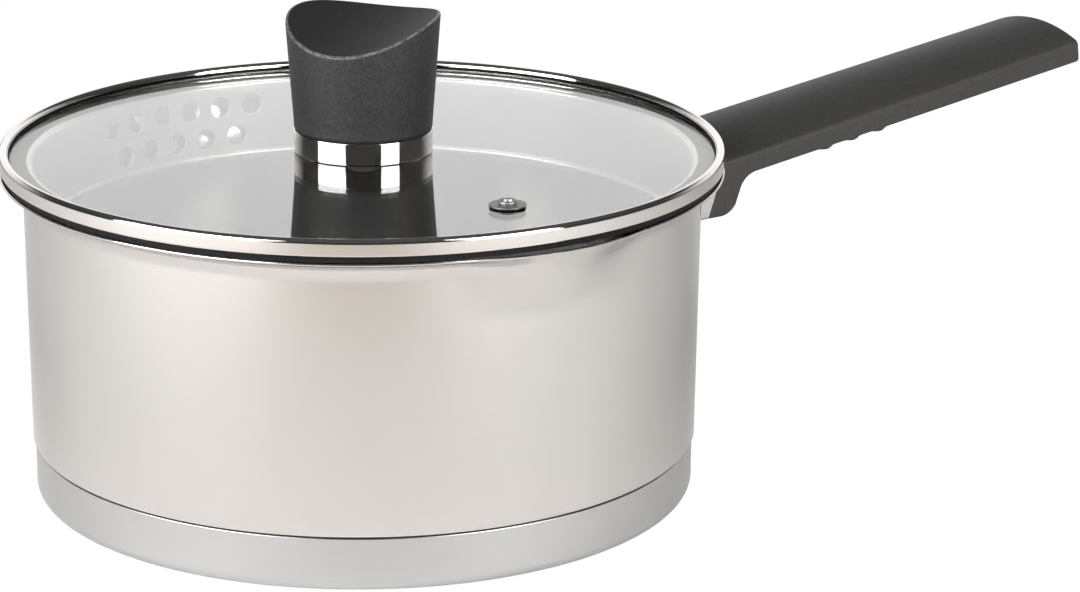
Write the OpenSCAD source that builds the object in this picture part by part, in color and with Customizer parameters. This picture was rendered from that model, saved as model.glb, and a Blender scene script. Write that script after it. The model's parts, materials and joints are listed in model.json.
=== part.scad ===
// Saucepan with a flat glass straining lid.
// Origin: centre of the base on the surface it stands on. +Z up, handle along +X, spouts at +Y and -Y.

/* [Pan] */
// Outside diameter of the wall at the top
pan_d = 200.4; // [150:0.2:260]
// Height of the lip above the surface
pan_h = 97.7; // [80:0.1:160]
// Steel thickness of the vessel
wall_t = 0.8; // [0.5:0.1:1.5]
// How much smaller the wall's radius is at its foot than at the top
wall_draft = 0.8; // [0:0.1:2]
// How far the lip reaches out past the wall
lip_out = 6.8; // [4.5:0.1:9]
// Radius of the bend that turns the wall out into the lip
lip_bend_r = 6; // [3:0.5:8]
// Upward slope of the lip outside its bend, in degrees
lip_slope = 15; // [5:1:25]
// Inside corner radius between floor and wall
corner_r = 8; // [5:0.5:9]

/* [Spouts] */
// Radius of the channel that each spout forms
spout_r = 26; // [18:1:32]
// Lean of the spout's channel from the vertical, in degrees
spout_lean = 28; // [22:1:36]
// How far a spout's edge stands out past the wall at lip height
spout_out = 9; // [7.5:0.5:12]
// How far a spout's edge lies below the lip's edge
spout_dip = 0.6; // [0.5:0.1:3]

/* [Base] */
// Height of the base cap's side
base_h = 16; // [12:0.5:22]
// Thickness of the base cap's steel
cap_t = 0.7; // [0.4:0.1:1.2]
// How far the base cap's side stands in from the foot of the wall
cap_inset = 0.7; // [0.3:0.1:1.5]
// Rounding of the base cap's lower edge
cap_round = 3; // [1.5:0.5:5]
// Thickness of the heat-spreading disc under the floor
core_t = 6.3; // [3:0.1:8]
// Height of the joint line between base cap and wall
seam_h = 0.5; // [0.3:0.1:1]

/* [Handle] */
// Length of the handle, from the pan's wall to its far end
handle_l = 167.5; // [130:0.5:230]
// Width of the grip at the pan
grip_w_root = 43; // [30:0.5:50]
// Width of the grip at its far end
grip_w_end = 40; // [28:0.5:46]
// Height of the grip's flat side
grip_side_h = 6.3; // [5.8:0.1:10]
// How far the rounded top rises above the grip's side
grip_crown = 5; // [3:0.1:7]
// Upward tilt of the handle, in degrees
handle_tilt = 7.4; // [0:0.1:12]
// How far below the lip the grip's top side edge starts, where the neck meets the bracket
handle_drop = 12.6; // [8:0.1:25]
// Length of the bracket, from the pan's wall to the grip's side edge
bracket_l = 18.8; // [15:0.2:30]
// Lean of the joint between bracket and grip, in degrees
joint_lean = 20; // [0:1:28]
// How far the neck hangs below the grip's underside
neck_drop = 11; // [7:0.1:14]
// Length of the neck along the handle, at its lower end
neck_l = 11.7; // [9:0.1:18]
// Number of finger ridges under the grip
ridge_count = 3; // [1:1:5]
// Spacing of the finger ridges
ridge_pitch = 11; // [8:0.5:14]
// Distance from the pan's wall to the first finger ridge
ridge_start = 59.8; // [50:0.2:80]
// Height of a finger ridge
ridge_h = 0.8; // [0.5:0.1:2]
// Width of the steel tang inside the grip
tang_w = 16; // [10:0.5:22]
// Thickness of the steel tang
tang_t = 3; // [2:0.1:4]
// Length of the tang beyond the bracket
tang_l = 62; // [50:1:90]
// Shank diameter of the handle screw
handle_screw_d = 5; // [4:0.5:6]

/* [Lid] */
// How far the lid band stands out past the pan's lip
lid_over = 0; // [-1:0.1:1]
// Thickness of the glass
glass_t = 3.7; // [3:0.1:5]
// How far the lid band stands above the glass
band_rise = 2.6; // [1.8:0.1:4]
// How far the lid band reaches below the top of the glass
band_drop = 2.2; // [1.2:0.1:3]
// Width of the lid band seen from above
band_w = 2.8; // [2.2:0.1:4]
// Steel thickness of the lid band
band_t = 0.6; // [0.4:0.1:0.8]
// Steel thickness of the strainer skirt
skirt_t = 0.6; // [0.4:0.1:1]
// Gap between the strainer skirt and the pan's wall
skirt_gap = 1.6; // [1.2:0.1:4]
// Depth of the skirt's lower edge below the top of the glass
skirt_drop = 27.9; // [26.4:0.1:36]
// Taper of the skirt over its height, on the radius
skirt_taper = 0.7; // [0:0.1:2]

/* [Strainer] */
// Diameter of the large strainer holes
large_hole_d = 6.6; // [5:0.1:8]
// Spacing of the large holes round the skirt, in degrees
large_step = 6.32; // [5.4:0.02:8]
// Number of large holes in the upper row
large_count = 6; // [3:1:10]
// Diameter of the small strainer holes
small_hole_d = 3.6; // [2:0.1:4.5]
// Spacing of the small holes round the skirt, in degrees
small_step = 4.2; // [3.6:0.1:6]
// Number of small holes in the upper row
small_count = 11; // [3:1:15]
// Turn of both groups of holes from the middle of the spouts, in degrees
strainer_turn = 5.1; // [-10:0.1:10]
// Depth of the upper row of holes below the top of the glass
upper_row = 11.3; // [8.6:0.1:12.4]
// Spacing between the two rows of holes
row_gap = 9.8; // [8.2:0.1:11.4]

/* [Vent] */
// Distance from the strainer skirt to the vent
vent_inset = 22.3; // [8:0.1:40]
// Outside diameter of the vent's tube
vent_tube_d = 5.6; // [4:0.1:8]
// Bore of the vent
vent_bore_d = 3.4; // [2:0.1:5]
// Diameter of the vent's flange
vent_flange_d = 11; // [9:0.5:14]
// Height of the vent's tube above the glass
vent_rise = 2.6; // [1.8:0.1:6]

/* [Knob] */
// Diameter of the ferrule
ferrule_d = 41; // [30:0.5:50]
// Height of the ferrule
ferrule_h = 6.7; // [4:0.1:12]
// Diameter of the knob at its top
knob_top_d = 45.8; // [32:0.2:56]
// Height of the knob above the ferrule, at its highest points
knob_h = 34.8; // [26:0.2:50]
// Radius of the scoop across the knob's top
scoop_r = 50; // [40:1:80]
// Slope of the scoop along its channel, in degrees
scoop_tilt = 8; // [0:0.5:12]
// Direction in which the scoop runs uphill, in degrees from the handle
scoop_turn = 35; // [0:5:355]
// Shank diameter of the knob screw
knob_screw_d = 5; // [4:0.5:6]
// Outside diameter of the threaded insert in the knob
insert_d = 10; // [8:0.5:14]

/* [Hidden] */
$fn = 96;

eps = 0.01;             // overshoot of a thin cut past the face that it opens
over = 1;               // overshoot of a long cut past the faces that it opens
body_gap = 0.3;         // clearance between pieces that move against each other
fit_gap = 0.1;          // clearance between pieces of one body that fit inside each other
far = 400;              // longer than any piece
arc_n = 10;             // steps in a rounded corner of a turned section

// Points along an arc from angle a0 to a1
function arc(c, r, a0, a1, n = arc_n) =
    [for (i = [0:n]) let (a = a0 + (a1 - a0) * i / n) [c[0] + r * cos(a), c[1] + r * sin(a)]];

// Vessel
wall_r = pan_d / 2;                        // outside radius of the wall under the lip
foot_r = wall_r - wall_draft;              // outside radius of the wall at its foot
lip_r = wall_r + lip_out;                  // outside radius of the lip
bend_c = wall_r + lip_bend_r;              // centre of the lip's bend, from the axis
bend_end_r = bend_c - (lip_bend_r + wall_t) * sin(lip_slope);
bend_end_rise = (lip_bend_r + wall_t) * cos(lip_slope);
bend_z = pan_h - bend_end_rise - (lip_r - bend_end_r) * tan(lip_slope);
cap_r = foot_r - cap_inset;                // outside radius of the base cap
drum_r = cap_r - cap_t - fit_gap;          // outside radius of the vessel inside the cap
floor_z = cap_t + core_t;                  // underside of the vessel's floor
seam_z = base_h + seam_h;                  // where the wall starts above the joint line
corner_out_r = corner_r + wall_t;
corner_c = [drum_r - corner_out_r, floor_z + corner_out_r];
spout_z = pan_h - spout_dip;
spout_depth = 32;                          // how far down a spout's channel is carried

// Heights in the lid, set by how the skirt's shoulder sits on the lip
band_r = lip_r + lid_over;                 // outside radius of the lid band
gasket_t = 0.6;                            // thickness of the gasket's wall
gasket_out_r = band_r - band_t - body_gap;
gasket_in_r = gasket_out_r - gasket_t;
glass_r = gasket_in_r - body_gap;          // outside radius of the glass
shoulder_z = bend_z + bend_end_rise + (glass_r - bend_end_r) * tan(lip_slope) + body_gap;
glass_z = shoulder_z + skirt_t;            // underside of the glass
lid_z = glass_z + glass_t;                 // top of the glass
roll_r = band_w / 2;                       // radius of the roll along the band's top
roll_z = lid_z + band_rise - roll_r;
gasket_lip_t = 0.4;                        // thickness of the gasket's lip over the glass
gasket_lip_w = 2.2;                        // reach of the gasket's lip over the glass
gasket_top_z = lid_z + body_gap + gasket_lip_t;
skirt_r = wall_r - wall_t - skirt_gap;     // outside radius of the skirt at its top
skirt_low_r = skirt_r - skirt_taper;
skirt_z = lid_z - skirt_drop;              // lower edge of the skirt
hem_r = 0.9;                               // radius of the rolled hem
bend_in = 1;                               // radius of the bend under the shoulder

// Vent stack
vent_reach = skirt_r - vent_inset;         // distance from the lid's axis to the vent
vent_hole_r = vent_tube_d / 2 + 0.3;
vent_flange_t = 0.8;
vent_seal_t = 0.4;
vent_washer_t = 0.8;
vent_rivet_w = 1.2;                        // how far the tube's riveted foot spreads

// Knob stack
ferrule_r = ferrule_d / 2;
ferrule_t = 1.2;                           // thickness of the ferrule's wall and top
knob_z = lid_z + ferrule_h;                // underside of the knob
knob_top_r = knob_top_d / 2;
knob_top_z = knob_z + knob_h;
knob_round = 2;                            // rounding of the knob's lower edge
scoop_z = knob_top_z - (scoop_r - sqrt(pow(scoop_r, 2) - pow(knob_top_r, 2)));
seal_t = 1;
seal_r = 9;
washer_t = 1;
knob_screw_r = knob_screw_d / 2;
glass_hole_r = knob_screw_r + 2;           // hole in the glass for the knob's screw
insert_l = 12;
screw_head_h = 2.8;
screw_head_r = knob_screw_d * 0.95;
screw_head_z = glass_z - seal_t - washer_t - screw_head_h;

// Handle: its top side edge passes through the joint and rises with the tilt
joint_x = wall_r + bracket_l;
handle_reach = wall_r + handle_l;
handle_z = pan_h - handle_drop;
side_drop = grip_side_h / cos(handle_tilt);
function edge_z(x) = handle_z + (x - joint_x) * tan(handle_tilt);
function joint_at(z) = joint_x + (z - handle_z) * tan(joint_lean);
crown_r = (pow(grip_w_root / 2, 2) + pow(grip_crown, 2)) / (2 * grip_crown);
neck_z = handle_z - side_drop - neck_drop; // lower end of the neck
tip_r = 6;                                 // rounding of the neck's lower end
fillet_r = 9;                              // hollow between the neck and the grip's underside
tip_c = [joint_at(neck_z) + neck_l - tip_r, neck_z + tip_r];
fillet_low = fillet_r / cos(handle_tilt) + side_drop;
fillet_a = 1 + pow(tan(handle_tilt), 2);
fillet_b = tan(handle_tilt) * (edge_z(0) - fillet_low - tip_c[1]) - tip_c[0];
fillet_c = pow(tip_c[0], 2) + pow(edge_z(0) - fillet_low - tip_c[1], 2) - pow(tip_r + fillet_r, 2);
fillet_x = (-fillet_b + sqrt(pow(fillet_b, 2) - fillet_a * fillet_c)) / fillet_a;
fillet_m = [fillet_x, edge_z(fillet_x) - fillet_low];
turn_a = atan2(fillet_m[1] - tip_c[1], fillet_m[0] - tip_c[0]);
end_round = 1;                             // rounding of the grip's far corners, seen from above
ridge_r = 5;
root_depth = 12;                           // how far the bracket and tang are carried back before trimming
tang_z = -1.2;                             // underside of the tang, from the grip's side edge
screw_u = 46;                              // handle screw's distance from the joint
lock_washer_t = 0.8;
handle_screw_r = handle_screw_d / 2;
handle_head_r = handle_screw_d * 0.85;
handle_head_h = 2.2;
recess_z = tang_z - 1.7;                   // ceiling of the screw's recess

// Flat ring
module ring(r_out, r_in, h) {
    difference() {
        cylinder(r = r_out, h = h);
        translate([0, 0, -eps]) cylinder(r = r_in, h = h + 2 * eps);
    }
}

// Leaning round channel of one spout, smaller by the given amount
module spout_channel(shrink) {
    translate([wall_r + spout_out, 0, pan_h]) rotate([0, spout_lean, 0])
        translate([-spout_r, 0, -spout_depth]) cylinder(r = spout_r - shrink, h = 2 * spout_depth);
}

// Places the same thing at both spouts
module at_spouts() {
    for (side = [90, -90]) rotate(side) children();
}

// Drawn vessel: floor, corner, wall and lip in one turned section
module vessel() {
    inner_r = drum_r - wall_t;
    step_h = 0.4;       // height of the step from drum to wall
    rotate_extrude() polygon(concat(
        [[0, floor_z]],
        arc(corner_c, corner_out_r, -90, 0),
        [[drum_r, seam_z], [foot_r, seam_z + step_h]],
        arc([bend_c, bend_z], lip_bend_r, 180, 90 + lip_slope),
        [[lip_r, pan_h - wall_t / cos(lip_slope)], [lip_r, pan_h]],
        arc([bend_c, bend_z], lip_bend_r + wall_t, 90 + lip_slope, 180),
        [[foot_r - wall_t, seam_z + wall_t + step_h], [inner_r, seam_z + wall_t]],
        arc(corner_c, corner_r, 0, -90),
        [[0, floor_z + wall_t]]));
}

module pan_body() {
    color("lightgray") difference() {
        union() {
            vessel();
            at_spouts() difference() {
                intersection() {
                    spout_channel(0);
                    translate([0, 0, spout_z - spout_depth]) cylinder(r = lip_r + spout_r, h = spout_depth);
                }
                cylinder(r1 = foot_r - wall_t / 2, r2 = wall_r - wall_t / 2, h = pan_h + over);
            }
        }
        at_spouts() spout_channel(wall_t);
        at_spouts() intersection() {
            spout_channel(-2);
            translate([wall_r - wall_t - eps, -spout_r, spout_z]) cube([far, 2 * spout_r, far]);
        }
    }
}

module base_core() {
    rise_a = -27;       // where the disc stops up the corner, as an angle
    round_r = 2.5;      // rounding of the disc's lower edge
    color("silver") rotate_extrude() polygon(concat(
        [[0, cap_t]],
        arc([drum_r - round_r, cap_t + round_r], round_r, -90, 0, 5),
        [[drum_r, corner_c[1] + corner_out_r * sin(rise_a)]],
        arc(corner_c, corner_out_r, rise_a, -90, 7),
        [[0, floor_z]]));
}

module base_cap() {
    c = [cap_r - cap_round, cap_round];
    color("gainsboro") rotate_extrude() polygon(concat(
        [[0, 0]],
        arc(c, cap_round, -90, 0, 8),
        [[cap_r, base_h], [cap_r - cap_t, base_h]],
        arc(c, cap_round - cap_t, 0, -90, 8),
        [[0, cap_t]]));
}

// Space bounded by the handle's sides, its far end and its rounded top
module handle_envelope() {
    half_root = grip_w_root / 2;
    half_end = grip_w_end / 2;
    far_c = handle_reach - end_round;
    intersection() {
        linear_extrude(height = far) polygon(concat(
            [[0, -half_root], [wall_r, -half_root]],
            arc([far_c, -half_end + end_round], end_round, -90, 0, 6),
            arc([far_c, half_end - end_round], end_round, 0, 90, 6),
            [[wall_r, half_root], [0, half_root]]));
        translate([joint_x, 0, handle_z]) rotate([0, -handle_tilt, 0])
            translate([-far / 2, 0, grip_crown - crown_r]) rotate([0, 90, 0])
            cylinder(r = crown_r, h = 2 * far);
    }
}

// Side view, in X and Z, made solid across the handle
module across(points) {
    rotate([90, 0, 0]) translate([0, 0, -far / 2]) linear_extrude(height = far) polygon(points);
}

// Frame of the handle: X along it from the joint, Z square to its top side edge
module on_handle() {
    translate([joint_x, 0, handle_z]) rotate([0, -handle_tilt, 0]) children();
}

module tang(grow) {
    on_handle() translate([-root_depth, -tang_w / 2 - grow, tang_z - grow])
        cube([root_depth + tang_l + grow, tang_w + 2 * grow, tang_t + 2 * grow]);
}

module handle_bracket() {
    top = handle_z + 2 * grip_crown;
    color("lightgray") difference() {
        union() {
            intersection() {
                handle_envelope();
                across([[wall_r - root_depth, neck_z], [joint_at(neck_z), neck_z], [joint_at(top), top],
                    [wall_r - root_depth, top]]);
            }
            tang(0);
        }
        cylinder(r = wall_r, h = far);
        on_handle() translate([screw_u, 0, -far / 2]) cylinder(r = handle_screw_r + 0.05, h = far);
    }
}

module handle_grip() {
    top = handle_z + grip_crown + far / 4;
    low = edge_z(handle_reach) - side_drop;
    color("dimgray") difference() {
        intersection() {
            handle_envelope();
            union() {
                across(concat(
                    [[joint_at(top), top], [handle_reach + over, top], [handle_reach + over, low]],
                    arc(fillet_m, fillet_r, 90 + handle_tilt, 180 + turn_a, 8),
                    arc(tip_c, tip_r, turn_a, -90, 8),
                    [[joint_at(neck_z), neck_z]]));
                on_handle() for (i = [0:ridge_count - 1])
                    translate([(ridge_start - bracket_l) / cos(handle_tilt) + i * ridge_pitch, far / 2,
                        -grip_side_h - ridge_h + ridge_r])
                    rotate([90, 0, 0]) cylinder(r = ridge_r, h = far);
            }
        }
        tang(fit_gap);
        on_handle() translate([screw_u, 0, -far / 2])
            cylinder(r = handle_head_r + 0.5, h = far / 2 + recess_z);
        on_handle() translate([screw_u, 0, -far / 2])
            cylinder(r = handle_screw_r + 0.2, h = far / 2 + tang_z);
    }
}

module handle_lock_washer() {
    color("silver") on_handle() translate([screw_u, 0, recess_z - lock_washer_t])
        ring(handle_head_r, handle_screw_r + fit_gap, lock_washer_t);
}

module handle_screw() {
    head_z = recess_z - lock_washer_t - handle_head_h;
    color("silver") on_handle() translate([screw_u, 0, 0]) difference() {
        union() {
            translate([0, 0, head_z]) cylinder(r = handle_head_r, h = handle_head_h);
            translate([0, 0, head_z]) cylinder(r = handle_screw_r, h = tang_z + tang_t - head_z);
        }
        cross_recess(head_z, handle_screw_d);
    }
}

// Cross slot in the underside of a screw head
module cross_recess(z, size) {
    for (a = [0, 90]) rotate(a) translate([-size / 2, -size / 10, z - eps])
        cube([size, size / 5, size / 4]);
}

module glass_gasket() {
    low = shoulder_z + (gasket_out_r - glass_r) * tan(lip_slope);
    lip_z = gasket_top_z - gasket_lip_t;
    color("black") rotate_extrude() polygon([[gasket_in_r, low], [gasket_out_r, low],
        [gasket_out_r, gasket_top_z], [gasket_out_r - gasket_lip_w, gasket_top_z],
        [gasket_out_r - gasket_lip_w, lip_z], [gasket_in_r, lip_z]]);
}

module lid_glass() {
    bevel = 0.5;
    color([0.75, 0.85, 0.85, 0.4]) difference() {
        rotate_extrude() polygon([[0, glass_z], [glass_r - bevel, glass_z], [glass_r, glass_z + bevel],
            [glass_r, lid_z - bevel], [glass_r - bevel, lid_z], [0, lid_z]]);
        translate([0, 0, glass_z - over]) cylinder(r = glass_hole_r, h = glass_t + 2 * over);
        translate([0, -vent_reach, glass_z - over]) cylinder(r = vent_hole_r, h = glass_t + 2 * over);
    }
}

module lid_band() {
    c = [band_r - roll_r, roll_z];
    low = lid_z - band_drop;
    inner_low = gasket_top_z + body_gap;
    color("lightgray") rotate_extrude() polygon(concat(
        [[band_r - band_t, low], [band_r, low]],
        arc(c, roll_r, 0, 180, 12),
        [[band_r - band_w, inner_low], [band_r - band_w + band_t, inner_low]],
        arc(c, roll_r - band_t, 180, 0, 12)));
}

// Solid that punches one row of holes, centred on a direction
module hole_row(direction, count, step, d, z) {
    for (i = [0:count - 1]) rotate(direction + (i - (count - 1) / 2) * step)
        translate([skirt_r - 10, 0, z]) rotate([0, 90, 0]) cylinder(d = d, h = 20);
}

module strainer_skirt() {
    upper_z = lid_z - upper_row;
    lower_z = upper_z - row_gap;
    hem_c = [skirt_low_r - hem_r, skirt_z + hem_r];
    hem_end = acos((hem_r - skirt_t) / hem_r) - 360;
    color("silver") difference() {
        rotate_extrude() polygon(concat(
            [[glass_r, glass_z], [glass_r, shoulder_z]],
            arc([skirt_r + bend_in, shoulder_z - bend_in], bend_in, 90, 180, 4),
            arc(hem_c, hem_r, 0, hem_end, 12),
            arc([skirt_r + bend_in, shoulder_z - bend_in], bend_in + skirt_t, 180, 90, 4)));
        hole_row(90 + strainer_turn, large_count, large_step, large_hole_d, upper_z);
        hole_row(90 + strainer_turn, large_count - 1, large_step, large_hole_d, lower_z);
        hole_row(strainer_turn - 90, small_count, small_step, small_hole_d, upper_z);
        hole_row(strainer_turn - 90, small_count - 1, small_step, small_hole_d, lower_z);
    }
}

module vent_eyelet() {
    flange_z = lid_z + vent_seal_t;
    foot_z = glass_z - vent_washer_t - vent_flange_t;
    tube_r = vent_tube_d / 2;
    color("silver") translate([0, -vent_reach, 0]) difference() {
        union() {
            translate([0, 0, flange_z]) cylinder(d = vent_flange_d, h = vent_flange_t);
            translate([0, 0, foot_z]) cylinder(r = tube_r, h = lid_z + vent_rise - foot_z);
            translate([0, 0, foot_z]) cylinder(r = tube_r + vent_rivet_w, h = vent_flange_t);
        }
        translate([0, 0, foot_z - over]) cylinder(d = vent_bore_d, h = far);
    }
}

module vent_seal() {
    color("black") translate([0, -vent_reach, lid_z])
        ring(vent_flange_d / 2 - 0.4, vent_tube_d / 2 + fit_gap, vent_seal_t);
}

module vent_washer() {
    color("silver") translate([0, -vent_reach, glass_z - vent_washer_t])
        ring(vent_flange_d / 2 - 0.4, vent_tube_d / 2 + fit_gap, vent_washer_t);
}

module knob_ferrule() {
    bevel = 0.4;
    color("lightgray") translate([0, 0, lid_z]) difference() {
        rotate_extrude() polygon([[0, 0], [ferrule_r - bevel, 0], [ferrule_r, bevel],
            [ferrule_r, ferrule_h], [0, ferrule_h]]);
        translate([0, 0, -eps]) cylinder(r = ferrule_r - ferrule_t, h = ferrule_h - ferrule_t);
        cylinder(r = knob_screw_r + body_gap, h = ferrule_h + over);
    }
}

module knob_body() {
    color("dimgray") difference() {
        rotate_extrude() polygon(concat(
            [[0, knob_z]],
            arc([ferrule_r - knob_round, knob_z + knob_round], knob_round, -90, 0, 6),
            [[knob_top_r, knob_top_z], [0, knob_top_z]]));
        translate([0, 0, scoop_z]) rotate([0, 0, scoop_turn]) rotate([0, -scoop_tilt, 0])
            translate([-far / 2, 0, scoop_r]) rotate([0, 90, 0]) cylinder(r = scoop_r, h = far);
        translate([0, 0, knob_z - over]) cylinder(d = insert_d, h = insert_l + over);
    }
}

module knob_insert() {
    color("silver") translate([0, 0, knob_z]) ring(insert_d / 2, knob_screw_r + 0.05, insert_l);
}

module knob_screw() {
    color("silver") difference() {
        union() {
            translate([0, 0, screw_head_z]) cylinder(r = screw_head_r, h = screw_head_h);
            translate([0, 0, screw_head_z])
                cylinder(r = knob_screw_r, h = knob_z + insert_l - 1 - screw_head_z);
        }
        cross_recess(screw_head_z, knob_screw_d);
    }
}

module knob_washer() {
    color("silver") translate([0, 0, glass_z - seal_t - washer_t])
        ring(seal_r - 1, knob_screw_r + fit_gap, washer_t);
}

module knob_seal() {
    color("black") difference() {
        union() {
            translate([0, 0, glass_z - seal_t]) cylinder(r = seal_r, h = seal_t);
            translate([0, 0, glass_z - eps]) cylinder(r = glass_hole_r - fit_gap, h = glass_t + eps);
        }
        translate([0, 0, glass_z - seal_t - over])
            cylinder(r = knob_screw_r + fit_gap, h = glass_t + seal_t + 2 * over);
    }
}

pan_body();
base_core();
base_cap();
handle_bracket();
handle_grip();
handle_screw();
handle_lock_washer();
glass_gasket();
lid_glass();
lid_band();
strainer_skirt();
vent_eyelet();
vent_seal();
vent_washer();
knob_ferrule();
knob_body();
knob_insert();
knob_screw();
knob_washer();
knob_seal();
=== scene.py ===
import json
import math

import bmesh
import bpy
import numpy as np
from mathutils import Matrix, Vector

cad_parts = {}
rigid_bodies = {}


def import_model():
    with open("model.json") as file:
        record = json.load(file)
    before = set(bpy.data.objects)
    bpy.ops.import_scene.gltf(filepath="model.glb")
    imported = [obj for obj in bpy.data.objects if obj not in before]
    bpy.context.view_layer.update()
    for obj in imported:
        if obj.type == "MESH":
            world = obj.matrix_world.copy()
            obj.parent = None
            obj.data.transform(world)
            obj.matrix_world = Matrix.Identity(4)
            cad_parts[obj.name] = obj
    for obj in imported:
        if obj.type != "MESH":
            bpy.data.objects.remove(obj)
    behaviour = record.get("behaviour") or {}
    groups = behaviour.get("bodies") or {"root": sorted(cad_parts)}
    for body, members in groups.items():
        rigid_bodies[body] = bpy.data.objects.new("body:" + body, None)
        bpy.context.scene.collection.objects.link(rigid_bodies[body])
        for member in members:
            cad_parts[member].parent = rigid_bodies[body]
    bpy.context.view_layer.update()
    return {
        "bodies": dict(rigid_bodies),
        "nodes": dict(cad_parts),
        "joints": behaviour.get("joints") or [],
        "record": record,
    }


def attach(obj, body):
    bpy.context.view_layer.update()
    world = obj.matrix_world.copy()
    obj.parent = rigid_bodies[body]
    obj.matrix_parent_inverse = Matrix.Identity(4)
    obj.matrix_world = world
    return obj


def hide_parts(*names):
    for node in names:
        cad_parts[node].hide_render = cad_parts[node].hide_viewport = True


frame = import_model()

# ---------------------------------------------------------------- sizes, in millimetres

MM = 0.001
TURN_STEPS = 288

# vessel
STEEL = 0.8
PAN_H = 97.7
WALL_R = 100.2
FOOT_R = 99.4
LIP_R = 107.0
LIP_BEND = 6.0
LIP_SLOPE = 15.0
CORNER = 8.0
CAP_R = 98.7
CAP_T = 0.7
CAP_ROUND = 3.0
CAP_H = 16.0
DRUM_R = 97.9
FLOOR_Z = 7.0
SEAM_Z = 16.5

# spouts
SPOUT_TURN = 90.0
SPOUT_HALF_WIDTH = 19.0
SPOUT_FOOT_Z = 76.0
SPOUT_EDGE = (108.85, 97.1)
SPOUT_LEAN = math.radians(28.0)

# lid
GLASS_TOP = 101.818
GLASS_UNDER = 98.118
SHOULDER_Z = 97.518
BAND_R = 107.0
BAND_W = 2.8
BAND_T = 0.6
BAND_RISE = 2.6
BAND_DROP = 2.2
SKIRT_T = 0.6
SKIRT_R = 97.8
SKIRT_LOW_R = 97.1
SKIRT_Z = 73.918
HEM = 0.9
GLASS_R = 105.2
UPPER_ROW = 11.3
ROW_GAP = 9.8
STRAINER_TURN = 5.1
LARGE_HOLE = 6.6
LARGE_STEP = 6.32
LARGE_COUNT = 6
SMALL_HOLE = 3.6
SMALL_STEP = 4.2
SMALL_COUNT = 11
VENT_REACH = 75.5

# knob
FERRULE_R = 20.5
FERRULE_H = 6.7
FERRULE_T = 1.2
KNOB_H = 34.8
KNOB_TOP_R = 22.9
KNOB_FOOT_ROUND = 1.2
KNOB_RIM_ROUND = 1.3
SCOOP_R = 50.0
SCOOP_TURN = 35.0
SCOOP_TILT = 8.0

# handle
REACH = 267.7
END_ROUND = 1.0
JOINT_X = 119.0
HANDLE_Z = 85.1
TILT = math.radians(7.4)
JOINT_LEAN = math.radians(20.0)
GRIP_ROOT = 43.0
GRIP_END = 40.0
GRIP_SIDE = 6.3
CROWN = 5.0
NECK_DROP = 11.0
NECK_L = 11.7
RIDGES = (160.0, 11.0, 3, 0.8)


# ---------------------------------------------------------------- making surfaces

def arc(centre, radius, start, end, count):
    """Points on a circle from one angle to another, in degrees, evenly spaced, ends included."""
    a = np.radians(np.linspace(start, end, count))
    return np.stack([centre[0] + radius * np.cos(a), centre[1] + radius * np.sin(a)], axis=-1)


def line(a, b, count):
    """Evenly spaced points from a to b, ends included."""
    t = np.linspace(0, 1, count)[:, None]
    return (1 - t) * np.asarray(a, float) + t * np.asarray(b, float)


def chain(*parts):
    """The parts' points one after another, as one section."""
    return np.concatenate([np.atleast_2d(np.asarray(p, float)) for p in parts])


def smooth(t):
    """0 below 0, 1 above 1, and the cubic 3t^2 - 2t^3 between."""
    t = np.clip(t, 0, 1)
    return t * t * (3 - 2 * t)


def lattice(rows, columns, wrap_rows, wrap_columns):
    """Quads that join each point of a rows by columns array to its neighbours."""
    i = np.arange(rows if wrap_rows else rows - 1)[:, None]
    j = np.arange(columns if wrap_columns else columns - 1)[None, :]
    i1, j1 = (i + 1) % rows, (j + 1) % columns
    return np.stack(np.broadcast_arrays(i * columns + j, i * columns + j1, i1 * columns + j1, i1 * columns + j),
                    axis=-1).reshape(-1, 4)


def gather(patches):
    """Patches of (points, quads) as one: each patch's quads are shifted past the points of those before it."""
    starts = np.cumsum([0] + [len(points) for points, quads in patches[:-1]])
    return (np.concatenate([points for points, quads in patches]),
            np.concatenate([quads + start for (points, quads), start in zip(patches, starts)]))


def piece(name, points, quads, sharp=32.0, outward=True):
    """A mesh from points in millimetres and quads. Doubles are merged, which also closes poles and seams.
    The faces point outwards: the sum over faces of corner . (edge x edge) is six times the volume, and is
    made positive."""
    mesh = bpy.data.meshes.new(name)
    mesh.from_pydata((np.asarray(points, float) * MM).tolist(), [], np.asarray(quads).tolist())
    work = bmesh.new()
    work.from_mesh(mesh)
    bmesh.ops.remove_doubles(work, verts=work.verts, dist=2e-6)
    bmesh.ops.dissolve_degenerate(work, edges=work.edges, dist=1e-7)
    if outward and work.calc_volume(signed=True) < 0:
        bmesh.ops.reverse_faces(work, faces=work.faces)
    work.to_mesh(mesh)
    work.free()
    mesh.polygons.foreach_set("use_smooth", np.ones(len(mesh.polygons), bool))
    mesh.set_sharp_from_angle(angle=math.radians(sharp))
    mesh.update()
    made = bpy.data.objects.new(name, mesh)
    bpy.context.scene.collection.objects.link(made)
    return made


def turned_points(section, steps=TURN_STEPS, centre=(0.0, 0.0)):
    """Each section point (r, z) carried round the axis: x = r cos a, y = r sin a."""
    a = np.linspace(0, 2 * math.pi, steps, endpoint=False)[None, :]
    r, z = section[:, :1], section[:, 1:]
    x, y = centre[0] + r * np.cos(a), centre[1] + r * np.sin(a)
    return np.stack([x, y, np.broadcast_to(z, x.shape)], axis=-1).reshape(-1, 3)


def turned(name, section, steps=TURN_STEPS, centre=(0.0, 0.0), sharp=32.0):
    """A closed section turned round a vertical axis."""
    return piece(name, turned_points(section, steps, centre), lattice(len(section), steps, True, True), sharp)


def face_rows(mesh, name):
    """What each face has under that name, such as its center or normal, as rows of three numbers."""
    values = np.zeros(3 * len(mesh.polygons))
    mesh.polygons.foreach_get(name, values)
    return values.reshape(-1, 3)


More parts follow.
